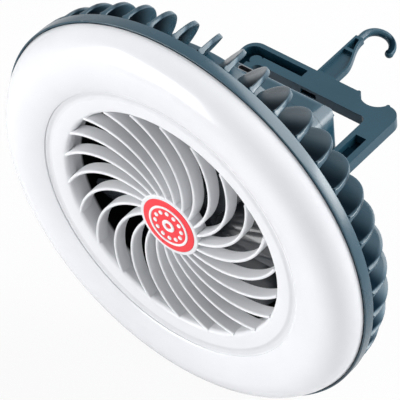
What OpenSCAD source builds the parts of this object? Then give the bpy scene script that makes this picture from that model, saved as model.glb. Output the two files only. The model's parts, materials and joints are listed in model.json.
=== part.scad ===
// Portable camping fan: a ring lamp around a spiral grille, a finned rear housing,
// a battery case behind it and a fold-out hanging bracket with a hook.
// Lengths are millimetres. The fan axis is level: the front faces -Y and up is +Z.

/* [Housing] */
// Radius of the seam between the lamp diffuser and the rim
seam_r = 101; // [98:1:110]
// How far the rim stands out past the seam
rim_step = 0.8; // [0.6:0.1:2]
// Width of the rim band along the fan axis
rim_w = 5.6; // [4.8:0.2:8]
// Thickness of the housing's moulded walls
shell_t = 2.2; // [1.8:0.2:2.8]
// Outer radius of the drum behind the rim
drum_r = 78; // [76:1:82]
// Distance from the seam back to the drum's rear face
drum_depth = 27; // [26:1:32]

/* [Petal fins] */
// Number of petal fins round the rim
fin_count = 45; // [36:1:48]
// Thickness of a petal fin
fin_t = 2.2; // [1.6:0.2:2.8]
// Length of a petal fin along its foot
fin_l = 34; // [30:1:38]
// Height of a petal fin behind the rim
fin_h = 22; // [20:1:28]
// Angle between a petal fin and the radius
fin_slant = 25; // [15:1:32]
// Fullness of a petal's outline, where 2 is an ellipse
fin_full = 2.6; // [2:0.1:3.4]

/* [Lamp] */
// Height of the diffuser's crest in front of the seam
crest_h = 13; // [11:0.5:16]
// Distance of the crest in from the seam
crest_in = 16; // [14:0.5:18]
// Radius of the diffuser's inner edge
lamp_in_r = 71.6; // [70:0.2:74]
// Thickness of the diffuser's wall
lamp_t = 2; // [1.6:0.2:2.6]
// Number of lamp chips on the ring board
chip_count = 36; // [24:1:48]

/* [Grille] */
// Radius of the grille's opening
open_r = 59.6; // [57:0.2:61]
// Height of the grille's face in front of the seam
grille_h = 9.4; // [8.4:0.2:11]
// Radius of the grille's hub
hub_r = 16.4; // [15:0.2:19]
// Number of spiral vanes
vane_count = 22; // [16:1:26]
// Thickness of a vane
vane_t = 1.6; // [1.2:0.1:2]
// Depth of a vane along the fan axis
vane_d = 6.6; // [5:0.2:7.4]
// Angle that a vane sweeps through from the opening to the hub
vane_sweep = 47; // [35:1:55]
// Radius of the round badge on the hub
badge_r = 14.4; // [12:0.2:14.6]

/* [Impeller and motor] */
// Number of impeller blades
blade_count = 7; // [5:1:9]
// Gap between the blade tips and the duct
tip_gap = 2; // [1:0.2:4]
// Pitch of the blades
blade_pitch = 34; // [24:1:38]
// Thickness of a blade
blade_t = 1.8; // [1.2:0.2:2.4]
// Radius of the motor shaft
shaft_r = 1.5; // [1:0.1:2]

/* [Battery case] */
// Width of the battery case
case_w = 61; // [58:1:64]
// Height of the battery case
case_h = 47; // [44:1:50]
// Distance from the seam back to the joint of the case and its cover
case_seam = 64; // [63:0.5:67]
// Depth of the rear cover
cover_d = 9.6; // [9.2:0.2:12]
// Radius of the case's long corners
case_corner_r = 9; // [7:0.5:10]
// Radius of the rounded rear edge of the cover
cover_edge_r = 4; // [2:0.5:5]

/* [Bracket] */
// Distance from the seam back to the bracket's hinge
hinge_back = 45; // [44:0.5:47]
// Width of the bracket over its arms
bracket_w = 87; // [84:1:92]
// Thickness of the bracket's plate
bracket_t = 6; // [5:0.5:7]
// Distance from the hinge to the bracket's rear edge
bracket_l = 59; // [57:0.5:64]
// Width of the cross bar along the fan axis
bar_w = 12.1; // [11.5:0.1:15]
// Radius of the hinge screw's shoulder
pivot_r = 2.5; // [2:0.1:2.8]
// Length of the hook arm behind the bar
hook_arm_l = 29; // [25:1:32]
// Thickness of the round hook
hook_wire = 3.8; // [3:0.1:4.4]
// Radius of the hook's centre line
hook_r = 7.5; // [6.5:0.5:9]

/* [Buttons] */
// Radius of a push button
button_r = 4.8; // [4:0.2:5.4]
// Travel of a push button
button_travel = 0.6; // [0.4:0.1:0.8]
// Distance between the two push buttons
button_pitch = 20; // [16:1:22]

/* [Hidden] */
$fn = 96;

teal = [0.24, 0.34, 0.40];
milk_white = [0.93, 0.94, 0.95];
grille_white = [0.88, 0.89, 0.90];
badge_red = [0.90, 0.20, 0.23];
steel = [0.72, 0.73, 0.75];
board_green = [0.10, 0.35, 0.22];
dark = [0.12, 0.13, 0.14];
copper = [0.72, 0.43, 0.24];

eps = 0.01;              // overlap that makes a cut or a joint clean
play = 0.05;             // radial running clearance of a pin in its hole
seat_gap = 0.1;          // clearance between flat faces that move past each other

rim_r = seam_r + rim_step;
drum_in_r = drum_r - shell_t;
floor_z = -drum_depth + shell_t;       // front face of the rear plate
flange_z = -rim_w + shell_t;           // front face of the lamp's flange
rim_in_r = seam_r - 9;                 // inner radius of the solid rim
lip_r = lamp_in_r - 0.2;               // outer radius of the grille's groove
groove_w = 3.6;
groove_d = 0.7;
duct_t = 1.8;
duct_r = open_r + duct_t;
duct_post_r = 3.2;
duct_foot_r = duct_r + duct_post_r - 0.8;
duct_post_l = 10;
duct_screw_r = 1.4;
duct_head_r = 2.8;
duct_head_t = 1.8;
duct_head_clear = 0.6;                 // room round a duct screw's head
hub_drop = 0.6;                        // how far the hub reaches behind the vanes

fin_sink = 0.8;                        // how far a fin's foot sinks into the rim
fin_phase = 1.4;
petal_steps = 18;                      // straight pieces in a petal's outline
vane_phase = 6.5;

board_t = 1.6;
chip_size = 3;
chip_t = 0.8;
lamp_board_w = 14;
lamp_board_r = [rim_in_r - 0.5 - lamp_board_w, rim_in_r - 0.5];

intake_count = 24;
intake_w = 4;
intake_r = [case_w * 0.5 + 10, open_r - 4];

badge_t = 1.2;
badge_rise = 0.2;
badge_z = grille_h + badge_rise;        // front face of the badge
inlay_t = 0.4;
inlay_ring_r = badge_r - 3.4;
inlay_dot_r = 1.1;
inlay_dots = 12;

blade_r = open_r - tip_gap;
blade_chord = 25;
blade_bend_r = 24;
rotor_front = -2.6;                    // front face of the impeller's hub
rotor_l = 14;
hub_cup_r = 14.5;
hub_wall = 1.25;
can_r = hub_cup_r - hub_wall;
can_wall = 0.9;
magnet_t = 1.3;
stator_gap = 0.5;
stator_r = can_r - can_wall - magnet_t - stator_gap;
stator_poles = 9;
stator_slot_r = 1.5;
stator_slot_in = 2.2;                  // how far a winding slot lies in from the edge
slit_w = 0.8;
stator_drop = 4.6;                     // from the impeller's front back to the stator
bearing_r = 3.5;
bearing_w = 3;
tube_r = 5;
mount_r = 22;
mount_t = 1.5;
mount_screw_r = 1.25;
mount_head_r = 2.3;
mount_head_t = 1.4;
mount_screw_ring = 17;
clip_t = 0.6;
bearing_z = [rotor_front - 3.8, floor_z + 3.2];
can_front = rotor_front - hub_wall;

case_front = -drum_depth;
case_wall = 2;
cell_r = 9.1;
cell_l = 49;
cell_gap = 0.6;
cell_front = case_front - case_wall - 1;
cell_z = cell_front - cell_r;
cell_y = cell_r + cell_gap / 2;
cover_z = -case_seam;
cover_back = -case_seam - cover_d;
post = [case_w / 2 - 4.4, case_h / 2 - 5.5];
post_r = 2.8;
post_l = 14;
pivot_boss_l = case_w / 2 - cell_l / 2 - 0.4;
cover_screw_r = 1.3;
cover_head_r = 2.3;
cover_head_t = 1.6;
cover_bite = 8;                        // how far a cover screw goes into its post

usb_w = 9;
usb_t = 3.2;
usb_l = 7.2;
usb_x = 12.5 - case_w / 2;
usb_z = cover_back + case_wall + usb_t / 2;
usb_clear = 0.15;
board_z = usb_z + usb_t / 2;           // rear face of the control board
board_size = [38, 31];
chip = [7, 7, 2];
chip_at = [-8, 4];
coil = [4, -7];                        // place of the board's small coil
coil_size = [5, 4, 1.6];
capacitor_at = [-9, -9];
capacitor_r = 2.6;
cradle_margin = 8;                     // how much shorter the cradle is than a cell
cradle_t = 4;

wall_in_y = -case_h / 2 + case_wall;   // inner face of the case's lower wall
button_z = -55;
button_rise = 0.8;
button_flange = 1;
button_flange_t = 0.8;
button_slip = 0.15;
switch_size = 6;
switch_h = 3;
switch_key_r = 1.7;
switch_key_h = 0.8;
switch_board_size = [button_pitch + 14, 12];
switch_top = wall_in_y + seat_gap + button_flange_t + button_travel + seat_gap;
switch_board_y = switch_top + switch_h;

hinge_z = -hinge_back;
washer_t = 0.9;
knuckle_r = 6.5;
knuckle_x = case_w / 2 + washer_t + seat_gap;
head_r = 4.4;
head_t = 2;
head_sink = 1;
head_x = bracket_w / 2 - head_sink - head_t;
screw_tip_x = case_w / 2 - pivot_boss_l + 0.6;
arm_in_x = knuckle_x + 0.4;            // inner side of a bracket arm
bar_back = hinge_z - bracket_l;        // rear edge of the bracket
corner_out_r = 7;
corner_in_r = 3;
pocket_d = 4.6;
rib_t = 1.5;                           // lip beside the left pocket
rear_lip_t = 2.5;                      // lip between the left pocket and the rear edge
pocket_end_x = -9;                     // right end of the left pocket
bar_pocket_w = 4.7;
arm_pocket_w = 5.8;
arm_pocket_d = 3.2;
arm_pocket_lip = 2.6;                  // lip between the right pocket and the window
arm_pocket = [8, 30, 36];              // start, step and end of the right pocket
bar_slot = [8.8, 2.7, 3];              // slot in the front side of the bar
bar_slot_x = -1.5;
notch_r = 8.6;
notch_x = bracket_w / 2 - 16.5;
notch_d = 4.8;
nub_r = 1;
hook_arm_t = 3.4;
hook_arm_w = 10.6;
hook_neck_w = 4.4;
hook_arm_x = -5.6;                     // left edge of the hook arm
hook_lip = 1.1;
hook_pocket_d = 1.9;
clip_pocket_d = 2.8;
edge_steps = 14;                       // straight pieces in the hook arm's right edge
hook_x = hook_arm_x + hook_neck_w / 2 - 0.2;
hook_y = (bracket_t - hook_wire) / 2;  // lifts the hook to the bracket's top face
hook_turn = 14;
hook_arc = 180;
hook_tip_r = hook_wire / 2 + 0.2;
hook_shank_l = 9;
hook_z = bar_back - hook_arm_l - 3.2;  // centre of the hook's bend
hook_back = hook_z - hook_r - hook_wire / 2;

mid_z = (crest_h + hook_back) / 2;     // middle of the whole depth

// Turns the fan's own frame (front towards +Z) into the standing one.
module place() {
    translate([0, mid_z, rim_r]) rotate([90, 0, 0]) children();
}

// A round bar along the fan axis between two heights.
module rod(r, z0, z1) {
    translate([0, 0, min(z0, z1)]) cylinder(r = r, h = abs(z1 - z0));
}

// A tube along the fan axis between two heights.
module tube(r_out, r_in, z0, z1) {
    difference() {
        rod(r_out, z0, z1);
        rod(r_in, min(z0, z1) - 1, max(z0, z1) + 1);
    }
}

// Copies its children evenly round the fan axis.
module around(count, phase = 0) {
    for (i = [0 : count - 1]) rotate([0, 0, phase + i * 360 / count]) children();
}

// Copies its children to the four corners of a rectangle.
module corners(x, y) {
    for (sx = [-1, 1]) for (sy = [-1, 1]) translate([sx * x, sy * y, 0]) children();
}

// A flat rectangle with round corners.
module round_rect(w, h, r) {
    square([w - 2 * r, h], center = true);
    square([w, h - 2 * r], center = true);
    corners(w / 2 - r, h / 2 - r) circle(r = r);
}

// A slot with round ends along the radius.
module radial_slot(r0, r1, w, z0, z1) {
    translate([r0, -w / 2, z0]) cube([r1 - r0, w, z1 - z0]);
    for (r = [r0, r1]) translate([r, 0, z0]) cylinder(r = w / 2, h = z1 - z0);
}

// A pan-head screw with its head towards +Z: the shank runs down from z = 0.
module pan_screw(r, l, head_r, head_t) {
    rod(r, -l, eps);
    difference() {
        rod(head_r, 0, head_t);
        translate([0, 0, head_t]) for (a = [0, 90]) rotate([0, 0, a])
            cube([head_r * 1.1, head_r * 0.3, head_t], center = true);
    }
}

// Height of a petal fin's outline at a place along its foot.
function petal_h(u) = fin_h * pow(1 - pow(abs(1 - 2 * u / fin_l), fin_full), 1 / fin_full);
petal_points = [for (i = [1 : petal_steps - 1])
    let (u = fin_l * (1 - cos(180 * i / petal_steps)) / 2) [u, -petal_h(u)]];

// One petal fin, standing on the rim at azimuth 0.
module petal() {
    translate([rim_r - 1, 0, -rim_w]) rotate([90, 0, 180 - fin_slant])
        linear_extrude(height = fin_t, center = true)
            polygon(concat([[0, fin_sink]], petal_points, [[fin_l, fin_sink]]));
}

module rear_shell() {
    color(teal) place() difference() {
        union() {
            tube(rim_r, rim_in_r, 0, -rim_w);
            tube(rim_in_r + eps, drum_in_r, flange_z, -rim_w);
            tube(drum_r, drum_in_r, flange_z, -drum_depth);
            rod(drum_in_r + eps, floor_z, -drum_depth);
            difference() {
                around(fin_count, fin_phase) petal();
                rod(drum_r - shell_t / 2, 1, floor_z - shell_t / 2);
            }
        }
        around(intake_count) radial_slot(intake_r[0], intake_r[1], intake_w,
            -drum_depth - fin_h, floor_z + 1);
        rod(tube_r - 1, -drum_depth - 1, floor_z + 1);
        around(3, 30) translate([mount_screw_ring, 0, 0]) rod(mount_screw_r, -drum_depth - 1, floor_z + 1);
        around(4, 45) translate([duct_foot_r, 0, 0]) {
            rod(duct_screw_r, -drum_depth - 1, floor_z + 1);
            rod(duct_head_r + duct_head_clear, -drum_depth - fin_h, -drum_depth - eps);
        }
    }
}

// The curved outline of the lamp's diffuser, in by a wall thickness if asked.
module lamp_outline(inset) {
    crest_r = seam_r - crest_in;
    small_r = crest_in + 0.2;
    large_r = 2.15 * crest_in;
    intersection() {
        translate([crest_r, crest_h - small_r]) circle(r = small_r - inset);
        translate([crest_r, 0]) square([2 * crest_in, crest_h]);
    }
    intersection() {
        translate([crest_r, crest_h - large_r]) circle(r = large_r - inset);
        translate([lamp_in_r, 0]) square([crest_r - lamp_in_r + eps, crest_h]);
    }
}

module diffuser_ring() {
    color(milk_white) place() rotate_extrude() difference() {
        intersection() {
            lamp_outline(0);
            translate([lamp_in_r, 0]) square([seam_r - lamp_in_r, crest_h]);
        }
        intersection() {
            lamp_outline(lamp_t);
            translate([lamp_in_r + lamp_t, -1]) square([seam_r - lamp_in_r - 2 * lamp_t, crest_h]);
        }
    }
}

module led_board() {
    color(milk_white) place() tube(lamp_board_r[1], lamp_board_r[0], flange_z, flange_z + board_t);
}

module led_chips() {
    color([0.98, 0.93, 0.60]) place() around(chip_count)
        translate([(lamp_board_r[0] + lamp_board_r[1]) / 2, 0, flange_z + board_t + chip_t / 2])
            cube([chip_size, chip_size, chip_t], center = true);
}

// Chord of a vane's centre line and the circle that it lies on.
function polar(r, a) = [r * cos(a), r * sin(a)];
vane_out = polar(open_r, 0);
vane_in = polar(hub_r, -vane_sweep);
vane_mid = polar((open_r + hub_r) / 2, -vane_sweep / 2);
function circle_centre(a, b, c) =
    let (d = 2 * (a.x * (b.y - c.y) + b.x * (c.y - a.y) + c.x * (a.y - b.y)),
         sa = a * a, sb = b * b, sc = c * c)
    [(sa * (b.y - c.y) + sb * (c.y - a.y) + sc * (a.y - b.y)) / d,
     (sa * (c.x - b.x) + sb * (a.x - c.x) + sc * (b.x - a.x)) / d];
vane_c = circle_centre(vane_out, vane_mid, vane_in);
vane_bend_r = norm(vane_out - vane_c);

// One spiral vane: the part of a curved wall between the hub and the opening.
module vane() {
    intersection() {
        translate([vane_c.x, vane_c.y, grille_h - vane_d]) difference() {
            cylinder(r = vane_bend_r + vane_t / 2, h = vane_d - badge_rise);
            translate([0, 0, -1]) cylinder(r = vane_bend_r - vane_t / 2, h = vane_d + 2);
        }
        tube(duct_r - 0.2, hub_r - 1, grille_h - vane_d - 1, grille_h + 1);
        rotate([0, 0, atan2(vane_c.y, vane_c.x)])
            translate([0, -2 * open_r, 0]) cube([2 * open_r, 2 * open_r, grille_h]);
    }
}

module front_grille() {
    color(grille_white) place() {
        rotate_extrude() polygon([
            [open_r, 0],
            [open_r, grille_h - 1.8],
            [open_r + 0.6, grille_h - 0.6],
            [open_r + 1.8, grille_h],
            [lip_r - groove_w, grille_h],
            [lip_r - groove_w + 0.3, grille_h - groove_d],
            [lip_r - 0.3, grille_h - groove_d],
            [lip_r, grille_h],
            [lip_r, grille_h - 4],
            [duct_r, grille_h - 4],
            [duct_r, 0]]);
        around(vane_count, vane_phase) vane();
        difference() {
            rod(hub_r, grille_h - vane_d - hub_drop, grille_h);
            rod(badge_r + play, grille_h - badge_t + badge_rise, grille_h + 1);
        }
    }
}

module hub_badge() {
    color(badge_red) place() rod(badge_r, badge_z - badge_t, badge_z);
}

// A thin ring with a circle of dots, as a plain mark on the badge.
module badge_inlay() {
    color("white") place() {
        tube(inlay_ring_r, inlay_ring_r - 1.2, badge_z, badge_z + inlay_t);
        tube(3.4, 1.6, badge_z, badge_z + inlay_t);
        around(inlay_dots) translate([inlay_ring_r - 3.6, 0, 0])
            rod(inlay_dot_r, badge_z, badge_z + inlay_t);
    }
}

module fan_duct() {
    color(grille_white) place() difference() {
        union() {
            tube(duct_r, open_r, 0, floor_z + 2 * seat_gap);
            around(4, 45) translate([duct_foot_r, 0, 0]) rod(duct_post_r, floor_z, floor_z + duct_post_l);
        }
        around(4, 45) translate([duct_foot_r, 0, 0])
            rod(duct_screw_r, floor_z - 1, floor_z + duct_post_l - 2);
    }
}

module duct_screws() {
    color(steel) place() around(4, 45) translate([duct_foot_r, 0, -drum_depth])
        mirror([0, 0, 1]) pan_screw(duct_screw_r, duct_post_l - 1, duct_head_r, duct_head_t);
}

module motor_mount() {
    color(steel) place() difference() {
        union() {
            rod(mount_r, floor_z, floor_z + mount_t);
            rod(tube_r, floor_z, bearing_z[0] + 0.2);
        }
        rod(bearing_r, floor_z - 1, 0);
        around(3, 30) translate([mount_screw_ring, 0, 0]) rod(mount_screw_r, floor_z - 1, 0);
    }
}

module mount_screws() {
    color(steel) place() around(3, 30) translate([mount_screw_ring, 0, floor_z + mount_t])
        pan_screw(mount_screw_r, mount_t + shell_t - 0.4, mount_head_r, mount_head_t);
}

module motor_stator() {
    color(copper) place() difference() {
        rod(stator_r, rotor_front - stator_drop, rotor_front - rotor_l + 1);
        rod(tube_r, -drum_depth, 0);
        around(stator_poles) translate([stator_r - stator_slot_in, 0, 0]) {
            rod(stator_slot_r, -drum_depth, 0);
            translate([0, -slit_w / 2, -drum_depth]) cube([2 * stator_slot_in, slit_w, drum_depth]);
        }
    }
}

module shaft_bearings() {
    color("silver") place() {
        tube(bearing_r, shaft_r + play, bearing_z[0], bearing_z[0] - bearing_w);
        tube(bearing_r, shaft_r + play, bearing_z[1], bearing_z[1] + bearing_w);
    }
}

// The curved cross-section of a blade, level, before it is pitched.
module blade_section() {
    intersection() {
        translate([0, -blade_bend_r + 4]) difference() {
            circle(r = blade_bend_r + blade_t / 2);
            circle(r = blade_bend_r - blade_t / 2);
        }
        translate([-blade_chord / 2, -8]) square([blade_chord, 16]);
    }
}

module impeller() {
    color("lightgrey") place() {
        tube(hub_cup_r, can_r, rotor_front - hub_wall, rotor_front - rotor_l);
        rod(hub_cup_r, rotor_front, rotor_front - hub_wall);
        intersection() {
            around(blade_count) translate([hub_cup_r - 0.6, 0, rotor_front - 8.6])
                rotate([90, 0, 90]) linear_extrude(height = blade_r)
                    rotate([0, 0, -blade_pitch]) translate([0, -1]) blade_section();
            tube(blade_r, hub_cup_r - 0.5, 0, floor_z);
        }
    }
}

module motor_can() {
    color(steel) place() difference() {
        rod(can_r, can_front, rotor_front - rotor_l);
        rod(can_r - can_wall, can_front - can_wall, rotor_front - rotor_l - 1);
        rod(shaft_r, -drum_depth, 0);
    }
}

module rotor_magnets() {
    color(dark) place() tube(can_r - can_wall, can_r - can_wall - magnet_t,
        can_front - can_wall - 0.4, rotor_front - rotor_l + 0.4);
}

module motor_shaft() {
    color(steel) place() rod(shaft_r, can_front, floor_z + 1);
}

module shaft_clip() {
    color(dark) place() tube(shaft_r + 1, shaft_r, bearing_z[1] - seat_gap, bearing_z[1] - seat_gap - clip_t);
}

// The case's outline along the fan axis.
module case_solid(z0, z1, inset = 0) {
    translate([0, 0, min(z0, z1)]) linear_extrude(height = abs(z1 - z0))
        round_rect(case_w - 2 * inset, case_h - 2 * inset, case_corner_r - inset);
}

// A button's hole and its place in the lower wall of the case.
module at_button(side) {
    translate([side * button_pitch / 2, -case_h / 2, button_z]) rotate([90, 0, 0]) children();
}

module battery_case() {
    color(teal) place() difference() {
        union() {
            difference() {
                case_solid(case_front, cover_z);
                case_solid(case_front - case_wall, cover_z - 1, case_wall);
            }
            intersection() {
                corners(post.x, post.y) rod(post_r, cover_z, cover_z + post_l);
                case_solid(case_front, cover_z, case_wall / 2);
            }
            for (s = [-1, 1]) translate([s * (case_w / 2 - pivot_boss_l / 2), 0, hinge_z])
                rotate([0, 90, 0])
                    cylinder(r = knuckle_r - 0.5, h = pivot_boss_l - case_wall / 2, center = true);
        }
        corners(post.x, post.y) rod(cover_screw_r, cover_z - 1, cover_z + post_l - 2);
        translate([0, 0, hinge_z]) rotate([0, 90, 0]) cylinder(r = pivot_r, h = case_w + 2, center = true);
        for (s = [-1, 1]) at_button(s) translate([0, 0, -case_wall - 1])
            cylinder(r = button_r + button_slip, h = case_wall + 2);
        rod(tube_r - 1, case_front + 1, case_front - case_wall - 1);
    }
}

module rear_cover() {
    depth = 4 * case_w;
    color(teal) place() difference() {
        union() {
            difference() {
                intersection() {
                    case_solid(cover_z, cover_back);
                    translate([0, 0, cover_back + case_w / 2]) rotate([90, 0, 0])
                        linear_extrude(height = depth, center = true) round_rect(case_w, case_w, cover_edge_r);
                    translate([0, 0, cover_back + case_w / 2]) rotate([0, 90, 0])
                        linear_extrude(height = depth, center = true) round_rect(case_w, case_h, cover_edge_r);
                }
                case_solid(cover_z + 1, cover_back + case_wall, case_wall);
            }
            intersection() {
                corners(post.x, post.y) rod(post_r, cover_z, cover_back);
                case_solid(cover_z, cover_back, case_wall / 2);
            }
        }
        corners(post.x, post.y) {
            rod(cover_screw_r + 0.1, cover_z + 1, cover_back - 1);
            rod(cover_head_r + 0.1, cover_back + cover_head_t + 0.4, cover_back - 1);
        }
        translate([usb_x, case_h / 2, usb_z]) rotate([90, 0, 0])
            linear_extrude(height = 4 * case_wall, center = true)
                round_rect(usb_w + 2 * usb_clear, usb_t + 2 * usb_clear - eps, usb_t / 2);
    }
}

module cover_screws() {
    color(steel) place() corners(post.x, post.y)
        translate([0, 0, cover_back + cover_head_t + 0.4]) mirror([0, 0, 1])
            pan_screw(cover_screw_r, cover_d + cover_bite, cover_head_r, cover_head_t);
}

module battery_cells() {
    color("royalblue") place() for (s = [-1, 1]) translate([0, s * cell_y, cell_z]) rotate([0, 90, 0]) {
        cylinder(r = cell_r, h = cell_l, center = true);
    }
}

module cell_cradle() {
    color(dark) place() difference() {
        translate([0, 0, cell_front - 1]) cube([cell_l - cradle_margin, 4 * cell_r, cradle_t], center = true);
        for (s = [-1, 1]) translate([0, s * cell_y, cell_z]) rotate([0, 90, 0])
            cylinder(r = cell_r, h = cell_l, center = true);
        rod(tube_r, case_front, cell_z);
    }
}

module control_board() {
    color(board_green) place() {
        translate([0, 0, board_z + board_t / 2]) cube([board_size.x, board_size.y, board_t], center = true);
        translate([chip_at.x, chip_at.y, board_z - chip.z / 2]) cube(chip + [0, 0, eps], center = true);
        translate([capacitor_at.x, capacitor_at.y, 0]) rod(capacitor_r, board_z + eps, board_z - capacitor_r);
        translate([coil.x, coil.y, board_z - coil_size.z / 2]) cube(coil_size + [0, 0, eps], center = true);
    }
}

module usb_socket() {
    color("silver") place() translate([usb_x, case_h / 2 - 0.3 - usb_l / 2, usb_z]) rotate([90, 0, 0])
        difference() {
            linear_extrude(height = usb_l, center = true) round_rect(usb_w, usb_t - eps, usb_t / 2 - eps);
            translate([0, 0, -1]) linear_extrude(height = usb_l, center = true)
                round_rect(usb_w - 0.8, usb_t - 0.8, usb_t / 2 - 0.5);
            translate([0, 0, -usb_l / 2]) cube([1, 1, 1], center = true);
        }
}

module switch_board() {
    color(board_green) place() translate([0, switch_board_y + board_t / 2, button_z])
        cube([switch_board_size.x, board_t, switch_board_size.y], center = true);
}

module tact_switches() {
    color(dark) place() for (s = [-1, 1]) translate([s * button_pitch / 2, switch_board_y, button_z]) {
        translate([0, (switch_key_h - switch_h) / 2, 0])
            cube([switch_size, switch_h - switch_key_h, switch_size], center = true);
        rotate([90, 0, 0]) cylinder(r = switch_key_r, h = switch_h);
    }
}

// A button cap in the lower wall, with a flange behind the wall that keeps it in.
module button_cap(side) {
    at_button(side) {
        translate([0, 0, -case_wall - seat_gap]) difference() {
            cylinder(r = button_r, h = case_wall + seat_gap + button_rise);
            translate([0, 0, case_wall + seat_gap + button_rise + 3 * button_r - 0.3])
                sphere(r = 3 * button_r);
        }
        translate([0, 0, -case_wall - seat_gap - button_flange_t])
            cylinder(r = button_r + button_flange, h = button_flange_t + eps);
    }
}

module fan_button() {
    color("white") place() button_cap(-1);
}

module light_button() {
    color("white") place() button_cap(1);
}

// Turns a shape along +Z into one along +X on the hinge line, on both sides.
module at_hinge() {
    for (s = [0, 1]) mirror([s, 0, 0]) translate([0, 0, hinge_z]) rotate([0, 90, 0]) children();
}

module pivot_screws() {
    color(steel) place() at_hinge() {
        rod(pivot_r, screw_tip_x, head_x + eps);
        difference() {
            rod(head_r, head_x, head_x + head_t);
            translate([0, 0, head_x + head_t]) cube([2 * head_r, 1.2, 1.6], center = true);
        }
    }
}

module friction_washers() {
    color("silver") place() at_hinge() tube(knuckle_r - 0.3, pivot_r + play, case_w / 2, case_w / 2 + washer_t);
}

// The right edge of the hook arm, which narrows towards the hook along an S.
function ease(t) = let (c = min(max(t, 0), 1)) c * c * (3 - 2 * c);
function hook_arm_right(t) = hook_arm_x + hook_arm_w - (hook_arm_w - hook_neck_w) * ease((t - 0.3) / 0.7);

// The hook arm's flat outline, in by a rim if asked: y runs back from the bar.
module hook_arm_outline(inset, t0, t1) {
    polygon(concat(
        [for (i = [0 : edge_steps]) let (t = t0 + (t1 - t0) * i / edge_steps)
            [hook_arm_right(t) - inset, t * hook_arm_l]],
        [[hook_arm_x + inset, t1 * hook_arm_l], [hook_arm_x + inset, t0 * hook_arm_l]]));
}

// The bracket's flat outline: x across, y back from the hinge line.
module bracket_outline() {
    difference() {
        union() {
            translate([0, bracket_l / 2]) square([bracket_w, bracket_l - 2 * corner_out_r], center = true);
            translate([-bracket_w / 2, 0]) square([bracket_w, bracket_l / 2]);
            translate([-bracket_w / 2 + corner_out_r, 0]) square([bracket_w - 2 * corner_out_r, bracket_l]);
            for (s = [-1, 1]) translate([s * (bracket_w / 2 - corner_out_r), bracket_l - corner_out_r])
                circle(r = corner_out_r);
        }
        translate([0, (bracket_l - bar_w) / 2 - 5])
            round_rect(2 * arm_in_x, bracket_l - bar_w + 10, corner_in_r);
        translate([notch_x, bracket_l - notch_d + notch_r]) circle(r = notch_r);
    }
    notch_half = sqrt(notch_r * notch_r - pow(notch_r - notch_d, 2));
    for (s = [-1, 1]) translate([notch_x + s * (notch_half + nub_r * 0.6), bracket_l - nub_r * 0.4])
        circle(r = nub_r, $fn = 32);
}

// The L-shaped pocket in the left half of the bar and the left arm.
module left_pocket() {
    x0 = -bracket_w / 2 + rib_t;
    y1 = bracket_l - rear_lip_t;
    turn_r = corner_out_r - rib_t;
    bend_r = 2 * rib_t;
    difference() {
        union() {
            translate([x0 + turn_r, y1 - turn_r]) circle(r = turn_r);
            translate([x0, arm_pocket[0]]) square([arm_pocket_w, y1 - turn_r - arm_pocket[0]]);
            translate([x0 + turn_r, y1 - bar_pocket_w]) square([pocket_end_x - x0 - turn_r, bar_pocket_w]);
            translate([x0 + arm_pocket_w - eps, y1 - bar_pocket_w - bend_r])
                square([bend_r, bend_r + eps]);
        }
        translate([x0 + arm_pocket_w + bend_r, y1 - bar_pocket_w - bend_r]) circle(r = bend_r);
    }
}

// Raises a flat drawing in the bracket's plane, between two heights over its middle.
module plate(y0, y1) {
    translate([0, y0, hinge_z]) rotate([-90, 0, 0]) linear_extrude(height = y1 - y0) children();
}

// The round hook: a straight shank, a half circle and a ball at its tip.
module hook_bend() {
    translate([hook_x, hook_y, hook_z]) rotate([0, 0, -hook_turn]) {
        cylinder(r = hook_wire / 2, h = hook_shank_l);
        translate([hook_r, 0, 0]) {
            rotate([90, 0, 0]) rotate([0, 0, 180]) rotate_extrude(angle = hook_arc)
                translate([hook_r, 0]) circle(r = hook_wire / 2);
            rotate([0, -hook_arc, 0]) translate([-hook_r, 0, 0]) sphere(r = hook_tip_r);
        }
    }
}

module bracket_frame() {
    top = bracket_t / 2;
    color(teal) place() difference() {
        union() {
            plate(-top, top) bracket_outline();
            plate(top - hook_arm_t, top) translate([0, bracket_l - 1]) hook_arm_outline(0, 0, 1.04);
            at_hinge() rod(knuckle_r, knuckle_x, bracket_w / 2);
            hook_bend();
        }
        plate(top - pocket_d, top + 1) left_pocket();
        translate([arm_in_x + arm_pocket_lip, 0, 0]) {
            plate(top - arm_pocket_d, top + 1) translate([0, arm_pocket[0]])
                square([arm_pocket_w, arm_pocket[2] - arm_pocket[0]]);
            plate(top - pocket_d, top + 1) translate([0, arm_pocket[1]])
                square([arm_pocket_w, arm_pocket[2] - arm_pocket[1]]);
        }
        translate([bar_slot_x, 0, bar_back + bar_w])
            cube([bar_slot.x, bar_slot.y, 2 * bar_slot.z], center = true);
        translate([0, 0, 1 - bracket_l]) {
            plate(top - hook_pocket_d, top + 1) hook_arm_outline(hook_lip, 0.06, 0.68);
            plate(top - clip_pocket_d, top + 1) hook_arm_outline(hook_lip, 0.74, 0.98);
        }
        at_hinge() {
            rod(pivot_r + play, knuckle_x - 1, bracket_w / 2 + 1);
            rod(head_r + 0.2, head_x - play, bracket_w / 2 + 1);
        }
    }
}

rear_shell();
diffuser_ring();
led_board();
led_chips();
front_grille();
hub_badge();
badge_inlay();
fan_duct();
duct_screws();
motor_mount();
mount_screws();
motor_stator();
shaft_bearings();
impeller();
motor_can();
rotor_magnets();
motor_shaft();
shaft_clip();
battery_case();
rear_cover();
cover_screws();
battery_cells();
cell_cradle();
control_board();
usb_socket();
switch_board();
tact_switches();
fan_button();
light_button();
pivot_screws();
friction_washers();
bracket_frame();
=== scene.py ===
# %% [markdown]
# # A portable camping fan
#
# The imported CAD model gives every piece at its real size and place. This lesson dresses it:
# it mixes the plastics and metals, remodels the mouldings whose soft edges catch the light,
# and sets up a studio. The fan's axis is level, its front faces -Y and up is +Z, in metres.

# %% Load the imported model
import math
import json

import bpy
from mathutils import Matrix, Vector


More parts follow.
